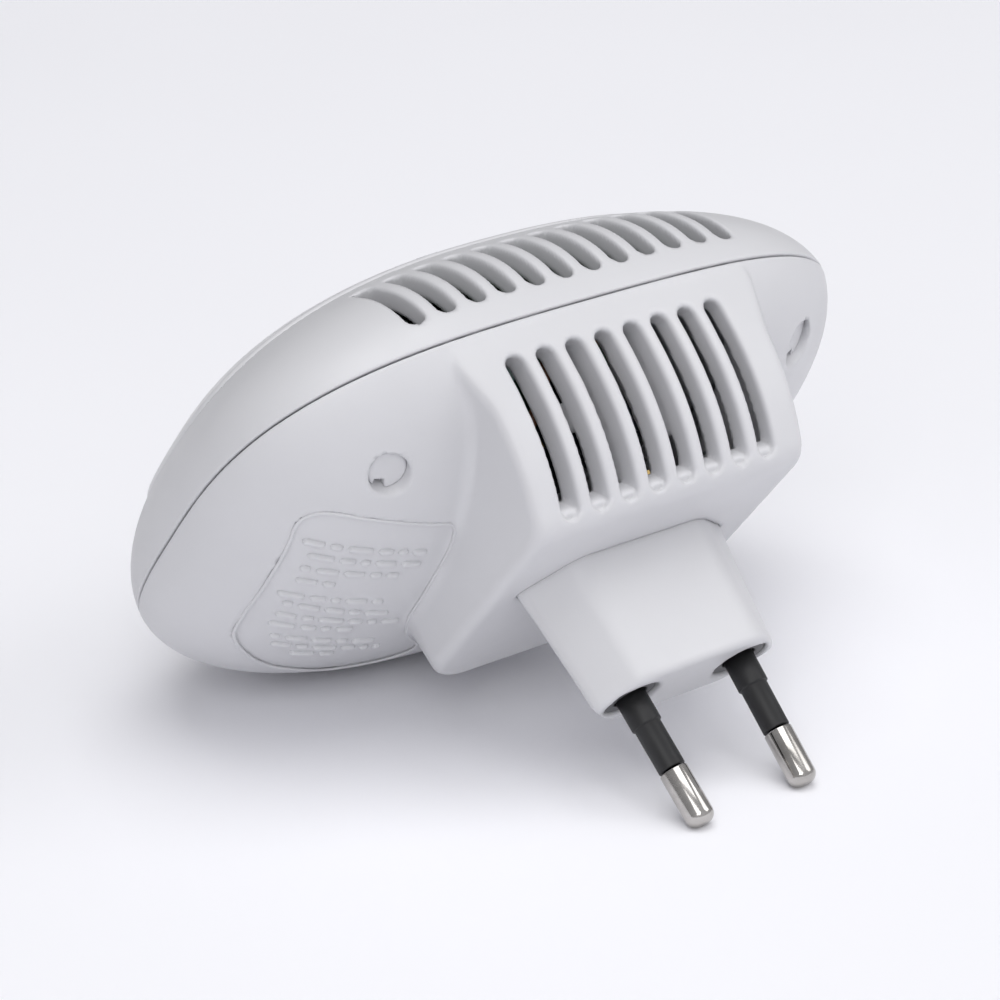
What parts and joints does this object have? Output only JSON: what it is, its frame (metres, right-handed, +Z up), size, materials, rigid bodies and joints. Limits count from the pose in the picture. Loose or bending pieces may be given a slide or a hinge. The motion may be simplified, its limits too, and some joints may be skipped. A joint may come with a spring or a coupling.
{
  "type": "ultrasonic pest repeller",
  "caption": "Plug-in ultrasonic pest repeller: oval two-part casing with vent slots, raised block, six-sided plug and round sleeved pins.",
  "frame": {"origin": "centre of the bounding box at the surface the device lies on", "axes": "+X along the oval body, +Z up; the pins point towards +Y and down, the front face towards -Y and up"},
  "size_m": [0.1036, 0.0898, 0.067],
  "materials": {
    "casing_plastic": "satin moulded light grey",
    "plate_plastic": "smooth light grey",
    "plug_plastic": "satin moulded, slightly whiter",
    "nickel": "polished nickel plate",
    "black_plastic": "black insulating plastic",
    "seat_plastic": "dark grey plastic",
    "brass": "bare brass",
    "screw_steel": "zinc plated",
    "lens_clear": "clear light pipe",
    "led_epoxy": "tinted epoxy",
    "board_green": "green solder mask",
    "film_yellow": "yellow epoxy case",
    "can_black": "printed sleeve, left blank",
    "ferrite": "sintered ferrite",
    "copper_enamel": "enamelled copper wire",
    "chip_epoxy": "moulded epoxy",
    "resistor_blue": "lacquered",
    "resistor_brown": "lacquered",
    "cone_aluminium": "spun aluminium",
    "ring_rubber": "soft gasket",
    "wire_brown": "PVC insulation",
    "wire_blue": "PVC insulation",
    "wire_red": "PVC insulation",
    "wire_black": "PVC insulation"
  },
  "bodies": {
    "root": {"front_shell": "casing_plastic", "back_shell": "casing_plastic", "front_plate": "plate_plastic", "plug_body": "plug_plastic", "pin_carrier": "seat_plastic", "pin_left": "nickel", "pin_sleeve_left": "black_plastic", "pin_seat_left": "seat_plastic", "pin_terminal_left": "brass", "shell_screw_left": "screw_steel", "screw_cap_left": "casing_plastic", "carrier_screw_left": "screw_steel", "led_left": "led_epoxy", "led_lens_left": "lens_clear", "pin_right": "nickel", "pin_sleeve_right": "black_plastic", "pin_seat_right": "seat_plastic", "pin_terminal_right": "brass", "shell_screw_right": "screw_steel", "screw_cap_right": "casing_plastic", "carrier_screw_right": "screw_steel", "led_right": "led_epoxy", "led_lens_right": "lens_clear", "main_board": "board_green", "board_screw_upper_left": "screw_steel", "board_screw_lower_left": "screw_steel", "board_screw_upper_right": "screw_steel", "board_screw_lower_right": "screw_steel", "dropper_capacitor": "film_yellow", "filter_capacitor": "can_black", "output_capacitor": "can_black", "choke_core": "ferrite", "choke_winding": "copper_enamel", "bridge_rectifier": "chip_epoxy", "control_chip": "chip_epoxy", "drive_transistor": "chip_epoxy", "power_resistor": "resistor_blue", "fuse_resistor": "resistor_brown", "speaker_frame": "black_plastic", "speaker_cone": "cone_aluminium", "piezo_disc": "brass", "speaker_ring": "ring_rubber", "mains_wire_brown": "wire_brown", "mains_wire_blue": "wire_blue", "speaker_wire_red": "wire_red", "speaker_wire_black": "wire_black"}
  },
  "joints": []
}
